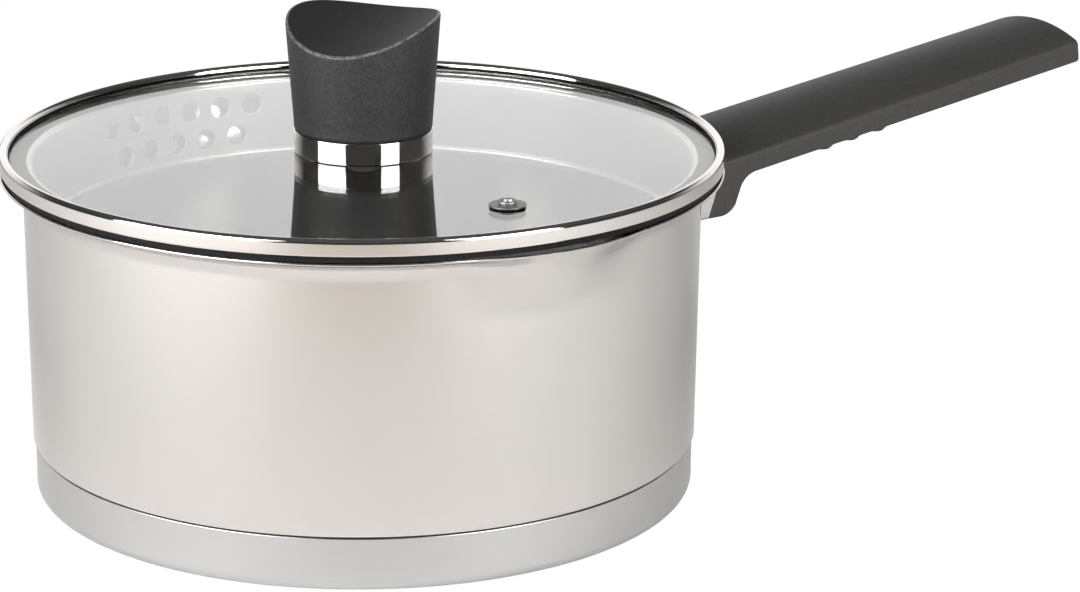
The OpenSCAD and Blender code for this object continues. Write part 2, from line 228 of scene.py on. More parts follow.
def set_slots(mesh, slots):
    """Gives each face its material slot."""
    mesh.polygons.foreach_set("material_index", slots.astype(np.int32))


# ---------------------------------------------------------------- the pan

def vessel_section():
    """Closed section of the drawn vessel, outside up, over the lip's edge and inside down. With it comes, for
    each of its points, how far along the spout's own profile it lies, 0 below the spout's foot and 1 at the
    lip's edge, and whether it is past the edge, on the inside."""
    wall_rows, bend_rows, lip_rows = 48, 16, 4
    s = math.radians(LIP_SLOPE)
    centre_r = WALL_R + LIP_BEND
    end_r = centre_r - (LIP_BEND + STEEL) * math.sin(s)
    rise = (LIP_BEND + STEEL) * math.cos(s)
    bend_z = PAN_H - rise - (LIP_R - end_r) * math.tan(s)
    out_r = CORNER + STEEL
    corner = (DRUM_R - out_r, FLOOR_Z + out_r)
    outside = chain(
        line((0.0, FLOOR_Z), (DRUM_R - out_r - 1, FLOOR_Z), 6),
        arc(corner, out_r, -90, 0, 14),
        (DRUM_R, SEAM_Z), (FOOT_R - 0.3, SEAM_Z), (FOOT_R, SEAM_Z + 0.4),
        line((FOOT_R + 0.02, SEAM_Z + 2), (WALL_R, bend_z - 1), wall_rows),
        arc((centre_r, bend_z), LIP_BEND, 180, 90 + LIP_SLOPE, bend_rows),
        line((end_r + 0.9, bend_z + rise - 0.55), (LIP_R - 0.35, PAN_H - STEEL * 0.98), lip_rows))
    edge = arc((LIP_R - 0.4, PAN_H - 0.42), 0.4, -60, 90, 8)
    inside = chain(
        line((LIP_R - 0.6, PAN_H - 0.05), (end_r + 0.1, bend_z + rise + 0.03), lip_rows),
        arc((centre_r, bend_z), LIP_BEND + STEEL, 90 + LIP_SLOPE, 180, bend_rows),
        line((WALL_R - STEEL, bend_z - 1), (FOOT_R - STEEL, SEAM_Z + 3), wall_rows),
        line((DRUM_R - STEEL + 0.3, SEAM_Z + 1), (DRUM_R - STEEL, SEAM_Z), 3),
        arc(corner, CORNER, 0, -90, 14),
        line((DRUM_R - out_r - 1, FLOOR_Z + STEEL), (0.0, FLOOR_Z + STEEL), 6))
    section = chain(outside, edge, inside)
    step = np.hypot(*np.diff(section, axis=0).T)
    along = np.concatenate([[0], np.cumsum(step)])
    top = along[len(outside) + len(edge) // 2]
    first_out = len(outside) - lip_rows - bend_rows - wall_rows
    first_in = len(outside) + len(edge) + lip_rows + bend_rows
    rising = np.arange(first_out, first_out + wall_rows)
    falling = np.arange(first_in, first_in + wall_rows)[::-1]
    foot_out, foot_in = (np.interp(SPOUT_FOOT_Z, section[wall, 1], along[wall]) for wall in (rising, falling))
    share = np.where(along <= top, (along - foot_out) / (top - foot_out), (foot_in - along) / (foot_in - top))
    return section, np.clip(share, 0, 1), along > top


def spout_line(share):
    """The spout's own outer profile, up the wall and leaning out to the pouring edge: z rises as the share s,
    and r grows as a quarter of s and three quarters of s^1.9."""
    r = WALL_R - 0.1 + (SPOUT_EDGE[0] - WALL_R + 0.1) * (0.25 * share + 0.75 * share ** 1.9)
    z = SPOUT_FOOT_Z + (SPOUT_EDGE[1] - SPOUT_FOOT_Z) * share
    return r, z


def make_vessel():
    """The section turned round the axis. Near each spout the section is mixed with the spout's own profile
    by a smooth window over the angle, so the lip opens into the channel without a crease."""
    section, share, inner = vessel_section()
    steps = 504
    a = np.degrees(np.linspace(0, 2 * math.pi, steps, endpoint=False))
    off = np.abs((a - SPOUT_TURN + 90) % 180 - 90)
    window = smooth(1.1 * (1 - off / SPOUT_HALF_WIDTH))
    r0, z0 = section[:, 0], section[:, 1]
    sr, sz = spout_line(share)
    lean = SPOUT_LEAN * smooth(share * 1.6)
    sr = sr - np.where(inner, STEEL * np.cos(lean), 0)
    sz = sz + np.where(inner, STEEL * np.sin(lean), 0)
    mix = window[None, :] * (share > 0)[:, None] * smooth(share * 3)[:, None]
    r = r0[:, None] * (1 - mix) + sr[:, None] * mix
    z = z0[:, None] * (1 - mix) + sz[:, None] * mix
    t = np.radians(a)[None, :]
    points = np.stack([r * np.cos(t), r * np.sin(t), z], axis=-1).reshape(-1, 3)
    made = piece("vessel", points, lattice(len(section), steps, True, True), 40)
    x, y, z = face_rows(made.data, "center").T / MM
    nx, ny, nz = face_rows(made.data, "normal").T
    radius = np.hypot(x, y)
    outward = (nx * x + ny * y) / radius
    brushed_to, floor_to = 91.0, 20.0
    # Faces inside the pan take the inner steel, coloured darker as painted shade.
    within = ((outward < -0.2) & (z < brushed_to)) | ((nz > 0.2) & (z < floor_to) & (radius < DRUM_R - 0.3))
    # Faces in the groove at the base seam take the painted seam shade.
    joint = (z > CAP_H - 0.3) & (z < SEAM_Z + 0.1) & (outward > -0.5) & (radius > DRUM_R - 0.9)
    set_slots(made.data, np.where(joint, 2, within))
    return made


def make_base_cap():
    """A shallow cup: flat underside, rounded lower edge, straight side with a softened top edge."""
    c = (CAP_R - CAP_ROUND, CAP_ROUND)
    section = chain(
        line((0, 0), (c[0] - 1, 0), 6),
        arc(c, CAP_ROUND, -90, 0, 14),
        line((CAP_R, CAP_ROUND + 1), (CAP_R, CAP_H - 0.5), 10),
        arc((CAP_R - 0.3, CAP_H - 0.45), 0.3, 0, 90, 5),
        (CAP_R - CAP_T, CAP_H - 0.15), line((CAP_R - CAP_T, CAP_H - 1), (CAP_R - CAP_T, CAP_ROUND + 1), 4),
        arc(c, CAP_ROUND - CAP_T, 0, -90, 10),
        line((c[0] - 1, CAP_T), (0, CAP_T), 6))
    return turned("base_shell", section, 360)


# ---------------------------------------------------------------- the handle

def to_row(u, v, w):
    """Handle frame to row frame: u along the handle from the joint, v across, w square to its top side edge."""
    return np.stack([JOINT_X + u * math.cos(TILT) - w * math.sin(TILT), v,
                     HANDLE_Z + u * math.sin(TILT) + w * math.cos(TILT)], axis=-1)


def underside():
    """The grip's lower outline in the handle frame: along the neck's foot, round its tip, up the hollow and out
    under the bar, with each finger ridge added as a raised cosine that is steeper on its far side."""
    neck_z = HANDLE_Z - GRIP_SIDE / math.cos(TILT) - NECK_DROP
    joint_low = JOINT_X + (neck_z - HANDLE_Z) * math.tan(JOINT_LEAN)
    tip, hollow = 6.0, 9.0
    tip_c = np.array([joint_low + NECK_L - tip, neck_z + tip])
    low = (hollow + GRIP_SIDE) / math.cos(TILT)
    k = math.tan(TILT)
    base = HANDLE_Z - JOINT_X * k - low - tip_c[1]
    qa, qb, qc = 1 + k * k, k * base - tip_c[0], tip_c[0] ** 2 + base ** 2 - (tip + hollow) ** 2
    mx = (-qb + math.sqrt(qb * qb - qa * qc)) / qa
    m = np.array([mx, HANDLE_Z + (mx - JOINT_X) * k - low])
    turn = math.degrees(math.atan2(m[1] - tip_c[1], m[0] - tip_c[0]))
    row = chain(line((joint_low - 1, neck_z), (tip_c[0] - 0.3, neck_z), 8),
                arc(tip_c, tip, -90, turn, 18),
                arc(m, hollow, 180 + turn, 90 + math.degrees(TILT), 22)[1:])
    x, z = row[:, 0] - JOINT_X, row[:, 1] - HANDLE_Z
    u, w = x * math.cos(TILT) + z * math.sin(TILT), z * math.cos(TILT) - x * math.sin(TILT)
    bar = np.arange(u[-1] + 0.5, (REACH - JOINT_X) / math.cos(TILT) + 2, 0.5)
    first, pitch, count, height = RIDGES
    bump = np.zeros_like(bar)
    for i in range(count):
        d = bar - ((first - JOINT_X) / math.cos(TILT) + i * pitch)
        reach = np.where(d < 0, 4.4, 2.6)
        bump = np.maximum(bump, height * 0.5 * (1 + np.cos(np.pi * np.clip(d / reach, -1, 1))))
    return np.concatenate([u, bar]), np.concatenate([w, -GRIP_SIDE - bump])


def handle_loop(half, low, top_drop, corner=1.9, foot=1.3, counts=(10, 8, 30)):
    """One ring of the handle for each station, in (v, w): flat underside, rounded lower corners, upright sides,
    rounded shoulders that touch both the side and the crown, and the crown's arc."""
    crown_r = ((GRIP_ROOT / 2) ** 2 + CROWN ** 2) / (2 * CROWN)
    half, low, drop = half[:, None], low[:, None], top_drop[:, None]
    centre_w = CROWN - crown_r - drop
    side_v, up = half - corner, np.sqrt((crown_r - corner) ** 2 - (half - corner) ** 2)
    shoulder = np.arctan2(up, side_v)
    under = np.linspace(-1, 1, counts[0])[None, :] * (half - foot)
    a = np.radians(np.linspace(-90, 0, counts[1]))[None, :]
    b = np.linspace(0, 1, counts[1])[None, :] * shoulder
    c = shoulder + (math.pi - 2 * shoulder) * np.linspace(0, 1, counts[2])[None, 1:-1]
    right_v = [half - foot + foot * np.cos(a), side_v + corner * np.cos(b)]
    right_w = [low + foot + foot * np.sin(a), centre_w + up + corner * np.sin(b)]
    left_v, left_w = [-p[:, ::-1] for p in right_v[::-1]], [p[:, ::-1] for p in right_w[::-1]]
    v = np.concatenate([under, *right_v, crown_r * np.cos(c), *left_v], axis=1)
    w = np.concatenate([low + 0 * under, *right_w, centre_w + crown_r * np.sin(c), *left_w], axis=1)
    return v, w


def end_cap(ring):
    """Rings that close a loop: the loop drawn in towards its mean point, p = mid + k (ring - mid)."""
    mid = ring.mean(0)
    return np.stack([mid + (ring - mid) * k for k in (0.66, 0.33, 0.0)])


def make_grip():
    """Rings of the handle carried along it. A ring leans like the joint at the pan's end and stands square
    further out: u = s + lean(s) w. Near the far end the rings shrink along quarter circles, which rounds it."""
    length = (REACH - JOINT_X) / math.cos(TILT) - 0.75
    s = np.concatenate([
        np.linspace(0, 24, 61), np.linspace(25, 76, 205), np.linspace(77, length - END_ROUND, 50),
        length - END_ROUND + END_ROUND * np.sin(np.radians(np.linspace(6, 90, 16)))])
    lean = math.tan(JOINT_LEAN + TILT) * (1 - smooth(s / 42))
    ou, ow = underside()
    station = ou.copy()
    for _ in range(30):
        station = ou - math.tan(JOINT_LEAN + TILT) * (1 - smooth(station / 42)) * ow
    low = np.interp(s, station, ow)
    half = (GRIP_ROOT / 2) + (GRIP_END - GRIP_ROOT) / 2 * np.clip((s + 19) / (length + 19), 0, 1)
    past = np.clip(s - (length - END_ROUND), 0, END_ROUND)
    edge_in = END_ROUND - np.sqrt(np.clip(END_ROUND ** 2 - past ** 2, 0, None))
    v, w = handle_loop(half - edge_in, low + 0.6 * edge_in, 0.6 * edge_in)
    rings = to_row(s[:, None] + lean[:, None] * w, v, w)
    rings = np.concatenate([end_cap(rings[0])[::-1], rings, end_cap(rings[-1])])
    return piece("grip", rings.reshape(-1, 3), lattice(len(rings), rings.shape[1], False, True), 40)


def make_bracket():
    """The steel root of the handle: the ring at the joint carried back to the round wall, its top following the
    handle's slope and its underside level, so x = (1 - t) wall(y) + t joint."""
    neck_z = HANDLE_Z - GRIP_SIDE / math.cos(TILT) - NECK_DROP
    lean = math.tan(JOINT_LEAN + TILT)
    joint_low_w = (neck_z - HANDLE_Z) / (math.cos(TILT) + lean * math.sin(TILT))
    v, w = handle_loop(np.array([GRIP_ROOT / 2 - 0.12]), np.array([joint_low_w]), np.array([0.0]), 1.6, 1.2)
    joint = to_row(lean * w + 0 * v, v, w)[0]
    rise = smooth((joint[:, 2] - neck_z) / 6)
    t = np.concatenate([[0], np.linspace(0.02, 1, 14)])[:, None]
    wall_x = np.sqrt((WALL_R + 0.02) ** 2 - joint[:, 1] ** 2)
    x = (1 - t) * wall_x + t * (joint[:, 0] - 0.04)
    z = joint[:, 2] - (joint[:, 0] - x) * math.tan(TILT) * rise
    y = joint[:, 1] + 0 * x
    rings = np.stack([x, y, z], axis=-1)
    near = end_cap(rings[0])
    near[..., 0] = np.sqrt((WALL_R + 0.02) ** 2 - near[..., 1] ** 2)
    rings = np.concatenate([near[::-1], rings, end_cap(rings[-1])])
    return piece("handle_root", rings.reshape(-1, 3), lattice(len(rings), rings.shape[1], False, True), 40)


# ---------------------------------------------------------------- the lid

def make_band():
    """Rolled steel band, all one sheet thick: straight outer side, half-round roll along the top, short inner
    leg."""
    roll = BAND_W / 2
    c = (BAND_R - roll, GLASS_TOP + BAND_RISE - roll)
    low, inner_low = GLASS_TOP - BAND_DROP, GLASS_TOP + 1.0
    section = chain(
        arc((BAND_R - 0.3, low + 0.3), 0.3, 180, 360, 8),
        line((BAND_R, low + 0.6), (BAND_R, c[1] - 0.1), 8),
        arc(c, roll, 0, 180, 28),
        (BAND_R - BAND_W, inner_low + 0.1), (BAND_R - BAND_W + 0.1, inner_low),
        (BAND_R - BAND_W + BAND_T, inner_low),
        arc(c, roll - BAND_T, 180, 0, 20),
        (BAND_R - BAND_T, c[1] - 0.3))
    return turned("rim_band", section, 480)


def row_levels(level, side=8):
    """Levels up the side of a row of patches: evenly spaced below the middle of its holes, and above it."""
    half = side // 2 + 1
    return np.concatenate([np.linspace(level[0], level[1], half), np.linspace(level[1], level[2], half)[1:]])


def perforated(direction, count, step, hole, across, levels):
    """Patches of skirt with a round hole each, in two staggered rows, as (angle, level) points and quads.
    A patch is a ring of points on the hole blended outwards to the patch's rectangle:
    p = (1 - t) circle + t frame. Every patch has the same even number of points along its sides, so neighbours
    in a row and between rows meet."""
    side = 8
    edge = np.linspace(-1, 1, side + 1)[:-1]
    frame_a = np.concatenate([edge, np.ones(side), -edge, -np.ones(side)])
    frame_l = np.concatenate([-np.ones(side), edge, np.ones(side), -edge])
    ring = np.arctan2(frame_l, frame_a)
    half_hole = math.degrees(hole / 2 / across)
    t = np.array([0, 0.12, 0.35, 0.65, 1.0])[:, None]
    patches = []
    for row, level in enumerate(levels):
        n = count - row
        frame = np.where(frame_l > 0, level[2] - level[1], level[1] - level[0]) * frame_l
        for i in range(n):
            mid = direction + (i - (n - 1) / 2) * step
            a = mid + (1 - t) * half_hole * np.cos(ring) + t * frame_a * step / 2
            l = level[1] + (1 - t) * hole / 2 * np.sin(ring) + t * frame
            patches.append((np.stack([a, l], axis=-1).reshape(-1, 2), lattice(len(t), len(ring), False, True)))
        if row == 1:
            for sign in (-1, 1):
                a = direction + sign * np.linspace(n / 2 * step, count / 2 * step, side // 2 + 1)
                patches.append(plain_patch(a, row_levels(level)))
    return gather(patches)


def plain_patch(angles, levels):
    """A patch of skirt without holes: every angle at every level."""
    points = np.stack(np.meshgrid(levels, angles, indexing="ij")[::-1], axis=-1).reshape(-1, 2)
    return points, lattice(len(levels), len(angles), False, False)


def make_skirt():
    """The straining skirt as one sheet: shoulder under the glass, bend, tapering wall with its holes, rolled
    hem. The wall zone with holes is laid out in angle and level, then set on the cone; the rest is turned."""
    half = SKIRT_T / 2
    upper, lower = GLASS_TOP - UPPER_ROW, GLASS_TOP - UPPER_ROW - ROW_GAP
    zone = (lower - 4.4, (upper + lower) / 2, upper + 3.9)
    levels = ((zone[1], upper, zone[2]), (zone[0], lower, zone[1]))
    bend_c = (SKIRT_R + 1, SHOULDER_Z - 1)
    hem_c = (SKIRT_LOW_R - HEM, SKIRT_Z + HEM)

    def cone(level):
        return SKIRT_LOW_R - half + (SKIRT_R - SKIRT_LOW_R) * (level - hem_c[1]) / (bend_c[1] - hem_c[1])

    patches, spans = [], []
    for direction, count, step, hole in ((90 + STRAINER_TURN, LARGE_COUNT, LARGE_STEP, LARGE_HOLE),
                                         (270 + STRAINER_TURN, SMALL_COUNT, SMALL_STEP, SMALL_HOLE)):
        patches.append(perforated(direction, count, step, hole, SKIRT_R, levels))
        spans.append((direction - count * step / 2, direction + count * step / 2, count * 8))
    plain = [(spans[0][1], spans[1][0], 132), (spans[1][1] - 360, spans[0][0], 132)]
    every_level = np.concatenate([row_levels(levels[1]), row_levels(levels[0])[1:]])
    for start, end, steps in plain:
        patches.append(plain_patch(np.linspace(start, end, steps + 1), every_level))
    flat, quads = gather(patches)
    r, a = cone(flat[:, 1]), np.radians(flat[:, 0])
    sheets = [(np.stack([r * np.cos(a), r * np.sin(a), flat[:, 1]], axis=-1), quads)]
    angles = np.radians(np.concatenate([np.linspace(start, end, steps, endpoint=False) for start, end, steps in
                                        (spans[0], plain[0], spans[1], plain[1])]))
    top = chain(
        (cone(zone[2]), zone[2]),
        arc(bend_c, 1 + half, 180, 90, 8),
        line((bend_c[0] + 0.5, SHOULDER_Z + half), (GLASS_R - 0.3, SHOULDER_Z + half), 4))
    hem = chain(
        (cone(zone[0]), zone[0]),
        (cone(hem_c[1] + 1), hem_c[1] + 1),
        (cone(hem_c[1] + 0.5), hem_c[1] + 0.5),
        arc(hem_c, HEM - half, 0, -285, 20))
    for section in (top, hem):
        r, z = section[:, :1], section[:, 1:]
        ring = np.stack([r * np.cos(angles), r * np.sin(angles), z + 0 * angles], axis=-1).reshape(-1, 3)
        sheets.append((ring, lattice(len(section), len(angles), False, True)))
    made = piece("strainer", *gather(sheets), 35, outward=False)
    work = bmesh.new()
    work.from_mesh(made.data)
    bmesh.ops.recalc_face_normals(work, faces=work.faces)
    widest = max(work.faces, key=bmesh.types.BMFace.calc_area)
    place = widest.calc_center_median()
    if widest.normal.dot(Vector((place.x, place.y, 0))) < 0:
        bmesh.ops.reverse_faces(work, faces=work.faces)
    work.to_mesh(made.data)
    work.free()
    sheet = made.modifiers.new("sheet", "SOLIDIFY")
    sheet.thickness = SKIRT_T * MM
    sheet.offset = 0
    return made


def make_ferrule():
    """The knob's steel foot: a thin-walled cap with a softened edge at top and bottom."""
    r, z0, z1 = FERRULE_R, GLASS_TOP, GLASS_TOP + FERRULE_H
    section = chain(
        arc((r - 0.35, z0 + 0.35), 0.35, -90, 0, 6),
        line((r, z0 + 0.6), (r, z1 - 0.4), 10),
        arc((r - 0.25, z1 - 0.25), 0.25, 0, 90, 5),
        line((r - 1, z1), (3.0, z1), 4), line((3.0, z1 - FERRULE_T), (r - FERRULE_T, z1 - FERRULE_T), 4),
        line((r - FERRULE_T, z1 - FERRULE_T - 0.2), (r - FERRULE_T, z0), 4))
    return turned("knob_collar", section, 240)


def scoop_height(x, y):
    """Height of the knob's hollow top, a leaning trough, with x along it and y across it:
    z = foot + x tan(tilt) + (R - sqrt(R^2 - y^2)) / cos(tilt)."""
    t, tilt = math.radians(SCOOP_TURN), math.radians(SCOOP_TILT)
    along, across = x * math.cos(t) + y * math.sin(t), -x * math.sin(t) + y * math.cos(t)
    top = GLASS_TOP + FERRULE_H + KNOB_H
    foot = top - (SCOOP_R - math.sqrt(SCOOP_R ** 2 - KNOB_TOP_R ** 2))
    return foot + along * math.tan(tilt) + (SCOOP_R - np.sqrt(SCOOP_R ** 2 - across ** 2)) / math.cos(tilt)


def make_knob():
    """A flaring cone up to the trough's edge. The edge is a curve between cone and trough for every angle:
    p = (1-t)^2 side + 2t(1-t) corner + t^2 top, and the hollow itself is rings drawn in to the middle."""
    steps = 288
    a = np.linspace(0, 2 * math.pi, steps, endpoint=False)
    foot, top = GLASS_TOP + FERRULE_H, GLASS_TOP + FERRULE_H + KNOB_H

    def cone(z):
        return FERRULE_R + (KNOB_TOP_R - FERRULE_R) * np.clip((z - foot - 2) / (top - foot - 2), 0, 1)

    rim_r = KNOB_TOP_R - 0.1
    rim_z = scoop_height(rim_r * np.cos(a), rim_r * np.sin(a))
    rim_r = cone(rim_z)
    rim_z = scoop_height(rim_r * np.cos(a), rim_r * np.sin(a))
    low = arc((FERRULE_R - KNOB_FOOT_ROUND, foot + KNOB_FOOT_ROUND), KNOB_FOOT_ROUND, -90, 0, 10)
    rings = [(np.full(steps, r), np.full(steps, z)) for r, z in chain((0.0, foot), (9, foot), low)]
    for t in np.linspace(0.04, 1, 26):
        z = (foot + KNOB_FOOT_ROUND) * (1 - t) + (rim_z - KNOB_RIM_ROUND) * t
        rings.append((cone(z), z))
    side_r, side_z = rings[-1]
    top_r = rim_r - KNOB_RIM_ROUND
    top_z = scoop_height(top_r * np.cos(a), top_r * np.sin(a))
    for t in np.linspace(0, 1, 13)[1:]:
        rings.append(((1 - t) ** 2 * side_r + 2 * t * (1 - t) * rim_r + t * t * top_r,
                      (1 - t) ** 2 * side_z + 2 * t * (1 - t) * rim_z + t * t * top_z))
    for k in np.linspace(1, 0, 22)[1:]:
        r = top_r * k
        rings.append((r, scoop_height(r * np.cos(a), r * np.sin(a))))
    points = np.concatenate([np.stack([r * np.cos(a), r * np.sin(a), z], axis=-1) for r, z in rings])
    made = piece("knob", points, lattice(len(rings), steps, False, True), 50)
    x, y, z = face_rows(made.data, "center").T / MM
    below = scoop_height(x, y) - z
    # the rim's faces take a finish with a painted highlight
    edge = (below < 0.75) & (below > -0.5) & (np.hypot(x, y) > cone(z) - 0.95)
    # the hollow's faces take a finish with painted shade
    hollow = (np.abs(below) < 0.5) & ~edge
    set_slots(made.data, edge + 2 * hollow)
    return made


def make_eyelet():
    """The vent, bored through: a low flat flange, an undercut neck and a rolled ring, and its riveted foot
    below."""
    z, foot = GLASS_TOP + 0.4, GLASS_UNDER - 1.6
    section = chain(
        (1.7, foot + 0.1), (1.8, foot), (3.9, foot), (4.0, foot + 0.1), (4.0, foot + 0.7), (3.9, foot + 0.8),
        (2.8, foot + 0.8), (2.8, z), (5.3, z),
        arc((5.25, z + 0.15), 0.15, -60, 80, 7), line((5.1, z + 0.31), (2.5, z + 0.36), 6),
        (2.35, z + 0.5), arc((2.3, z + 1.0), 0.45, -60, 110, 14), line((2.0, z + 1.36), (1.7, z + 0.9), 4))
    return turned("vent", section, 96, (0.0, -VENT_REACH), 40)


# ---------------------------------------------------------------- finishes

class Value:
    """A number that varies over a surface. Arithmetic on it adds the nodes that work it out."""

    def __init__(self, nodes, socket):
        self.nodes, self.socket = nodes, socket

    def _with(self, operation, first, second):
        return self.nodes.make("ShaderNodeMath", {"operation": operation}, {0: first, 1: second})

    def __add__(self, other): return self._with("ADD", self, other)
    def __sub__(self, other): return self._with("SUBTRACT", self, other)
    def __mul__(self, other): return self._with("MULTIPLY", self, other)
    def __radd__(self, other): return self._with("ADD", other, self)
    def __rsub__(self, other): return self._with("SUBTRACT", other, self)
    def __rmul__(self, other): return self._with("MULTIPLY", other, self)


class Nodes:
    """A node tree under construction. make() adds any node: its type, its settings, and values or links for its
    sockets."""

    def __init__(self, tree):
        self.tree = tree

    def make(self, kind, settings=None, sockets=None, output=0):
        node = self.tree.nodes.new(kind)
        for key, value in (settings or {}).items():
            setattr(node, key, value)
        for key, value in (sockets or {}).items():
            if isinstance(value, Value):
                self.tree.links.new(value.socket, node.inputs[key])
            else:
                node.inputs[key].default_value = value
        return Value(self, node.outputs[output])

    def place(self, scale=(1, 1, 1)):
        """Object coordinates, stretched by the given scale."""
        where = self.make("ShaderNodeTexCoord", output="Object")
        return self.make("ShaderNodeMapping", {}, {"Vector": where, "Scale": scale})

    def noise(self, scale, detail=2.0, roughness=0.5):
        """Noise that repeats about as often per metre as the scale says, along each axis."""
        return self.make("ShaderNodeTexNoise", {}, {
            "Vector": self.place(scale), "Scale": 1.0, "Detail": detail, "Roughness": roughness})

    def between(self, mask, low, high):
        """Colour between two colours by a mask."""
        return self.make("ShaderNodeMix", {"data_type": "RGBA"}, {0: mask, 6: (*low, 1), 7: (*high, 1)}, 2)

    def ramp(self, value, start, end, first=0.0, last=1.0):
        """first below start, last above end, and a smooth step between."""
        return self.make("ShaderNodeMapRange", {"interpolation_type": "SMOOTHSTEP"},
                         {0: value, 1: start, 2: end, 3: first, 4: last})

    def dot(self, where, direction):
        return self.make("ShaderNodeVectorMath", {"operation": "DOT_PRODUCT"}, {0: where, 1: direction}, 1)


class Finish(Nodes):
    """A material: constants on the shader's own sockets, varying values by feed() and bump()."""

    def __init__(self, name, **constants):
        self.material = bpy.data.materials.new(name)
        self.material.use_nodes = True
        super().__init__(self.material.node_tree)
        self.surface = self.tree.nodes["Principled BSDF"]
        for socket, value in constants.items():
            self.surface.inputs[socket.replace("_", " ").title().replace("Ior", "IOR")].default_value = value

    def feed(self, **sockets):
        for socket, value in sockets.items():
            self.tree.links.new(value.socket, self.surface.inputs[socket.replace("_", " ").title()])

    def bump(self, height, distance, strength=1.0):
        self.feed(normal=self.make("ShaderNodeBump", {}, {
            "Height": height, "Distance": distance, "Strength": strength}))


def polished_steel(name, low, high, dull, spread):
    """Drawn and polished stainless: broad slow cloudiness, hair-fine lines round the axis, a faint waviness."""
    f = Finish(name, metallic=1.0)
    cloud = f.noise((14, 14, 8), 3)
    hair = f.noise((14, 14, 2600))
    f.feed(base_color=f.between(cloud * 0.7 + hair * 0.3, low, high),
           roughness=dull + spread * (0.6 * cloud + 0.4 * hair))
    f.bump(hair * 0.5 + f.noise((22, 22, 9)) * 6.0, 0.000006)
    return f.material


def satin_steel():
    """Turned satin: fine lines round the axis of uneven depth over a matt ground."""
    f = Finish("satin steel", metallic=1.0)
    close = f.noise((10, 10, 3800), 3, 0.7)
    wide = f.noise((25, 25, 900))
    cloud = f.noise((12, 12, 30), 3)
    f.feed(base_color=f.between(close * 0.5 + cloud * 0.5, (0.42, 0.418, 0.414), (0.52, 0.518, 0.512)),
           roughness=0.24 + 0.12 * close + 0.04 * cloud)
    f.bump(close * 0.6 + wide * 0.4, 0.000012)
    return f.material


def shaded_inner_steel():
    """The satin inside of the pan: close circular brushing, duller than the outside, and coloured darker than
    it as painted shade.
    """
    f = Finish("satin inner steel with painted shade", metallic=1.0)
    rings = f.noise((12, 12, 2200), 3, 0.7)
    cloud = f.noise((30, 30, 30), 3)
    # painted shade: the inside is coloured darker than the outside's steel
    f.feed(base_color=f.between(rings * 0.5 + cloud * 0.5, (0.33, 0.32, 0.31), (0.45, 0.44, 0.425)),
           roughness=0.03 + 0.05 * rings)
    f.bump(rings * 0.2 + f.noise((26, 26, 9), 1) * 6.0, 0.00012)
    return f.material


def painted_seam_shade():
    """Painted shade in the groove where base and wall meet: a dark, dull, uneven finish."""
    f = Finish("painted seam shade", specular_ior_level=0.2)
    crust = f.noise((400, 400, 400), 3)
    # painted shade: near black in the groove at the seam
    f.feed(base_color=f.between(crust, (0.010, 0.009, 0.008), (0.030, 0.028, 0.026)),
           roughness=0.6 + 0.2 * crust)
    f.bump(crust, 0.00004)
    return f.material


def lit_skirt_steel():
    """The skirt's satin sheet: upright rolling grain over a soft mottle, coloured lighter than steel as painted
    light, so lighter than the pan's inside.
    """
    f = Finish("satin skirt steel with painted light", metallic=1.0)
    grain = f.noise((900, 900, 40), 3)
    mottle = f.noise((30, 30, 20), 3)
    # painted light: the sheet is coloured lighter than steel
    f.feed(base_color=f.between(grain * 0.4 + mottle * 0.6, (0.72, 0.71, 0.69), (0.86, 0.85, 0.83)),
           roughness=0.34 + 0.12 * mottle + 0.06 * grain)
    f.bump(grain, 0.00001)
    return f.material


def plain_screw_steel():
    """Plain stainless of screws and washers, with a fine tumbled mottle."""
    f = Finish("plain screw steel", metallic=1.0)
    grain = f.noise((60, 60, 1400))
    mottle = f.noise((40, 40, 40), 3)
    f.feed(base_color=f.between(grain * 0.4 + mottle * 0.6, (0.55, 0.54, 0.53), (0.66, 0.65, 0.63)),
           roughness=0.28 + 0.08 * mottle)
    f.bump(grain, 0.00001)
    return f.material


def cast_aluminium():
    """Pressed disc: grey with a faint granular dullness."""
    f = Finish("pressed aluminium", metallic=1.0)
    grit = f.noise((700, 700, 700), 3)
    f.feed(base_color=f.between(grit, (0.55, 0.56, 0.57), (0.75, 0.76, 0.77)), roughness=0.35 + 0.2 * grit)
    f.bump(grit, 0.00003)
    return f.material


def turned_brass():
    """Turned brass with fine tool lines."""
    f = Finish("turned brass", metallic=1.0)
    lines = f.noise((60, 60, 2500))
    f.feed(base_color=f.between(lines, (0.60, 0.42, 0.16), (0.78, 0.60, 0.28)), roughness=0.22 + 0.15 * lines)
    f.bump(lines, 0.00002)
    return f.material


def moulded_black(name, fine, depth, low, high, dull, shine, soft=0.5):
    """Moulded heat-proof plastic: eroded mould grain of two sizes, its colour following the grain's height:
    random grain tone, and painted shade that is darker in its pits. A smaller soft makes the step from pit to
    crest sharper, and the grain more speckled."""
    f = Finish(name, specular_ior_level=shine)
    grain = f.noise((fine, fine, fine), 3, 0.6)
    coarse = f.noise((0.37 * fine, 0.37 * fine, 0.37 * fine))
    rub = f.noise((12, 12, 12), 3)
    mix = grain * 0.7 + coarse * 0.3
    # painted shade: the colour follows the grain's height, darker in the pits
    crest = f.ramp(mix * 0.8 + rub * 0.2, 0.5 - soft, 0.5 + soft)
    f.feed(base_color=f.between(crest, low, high), roughness=dull - 0.10 * mix + 0.06 * rub)
    f.bump(mix, depth)
    return f.material


def silicone():
    """Black silicone with a dusty bloom."""
    f = Finish("black silicone", specular_ior_level=0.12)
    bloom = f.noise((150, 150, 150), 3)
    f.feed(base_color=f.between(bloom, (0.004, 0.004, 0.004), (0.012, 0.012, 0.012)),
           roughness=0.55 + 0.15 * bloom)
    f.bump(bloom, 0.00002)
    return f.material


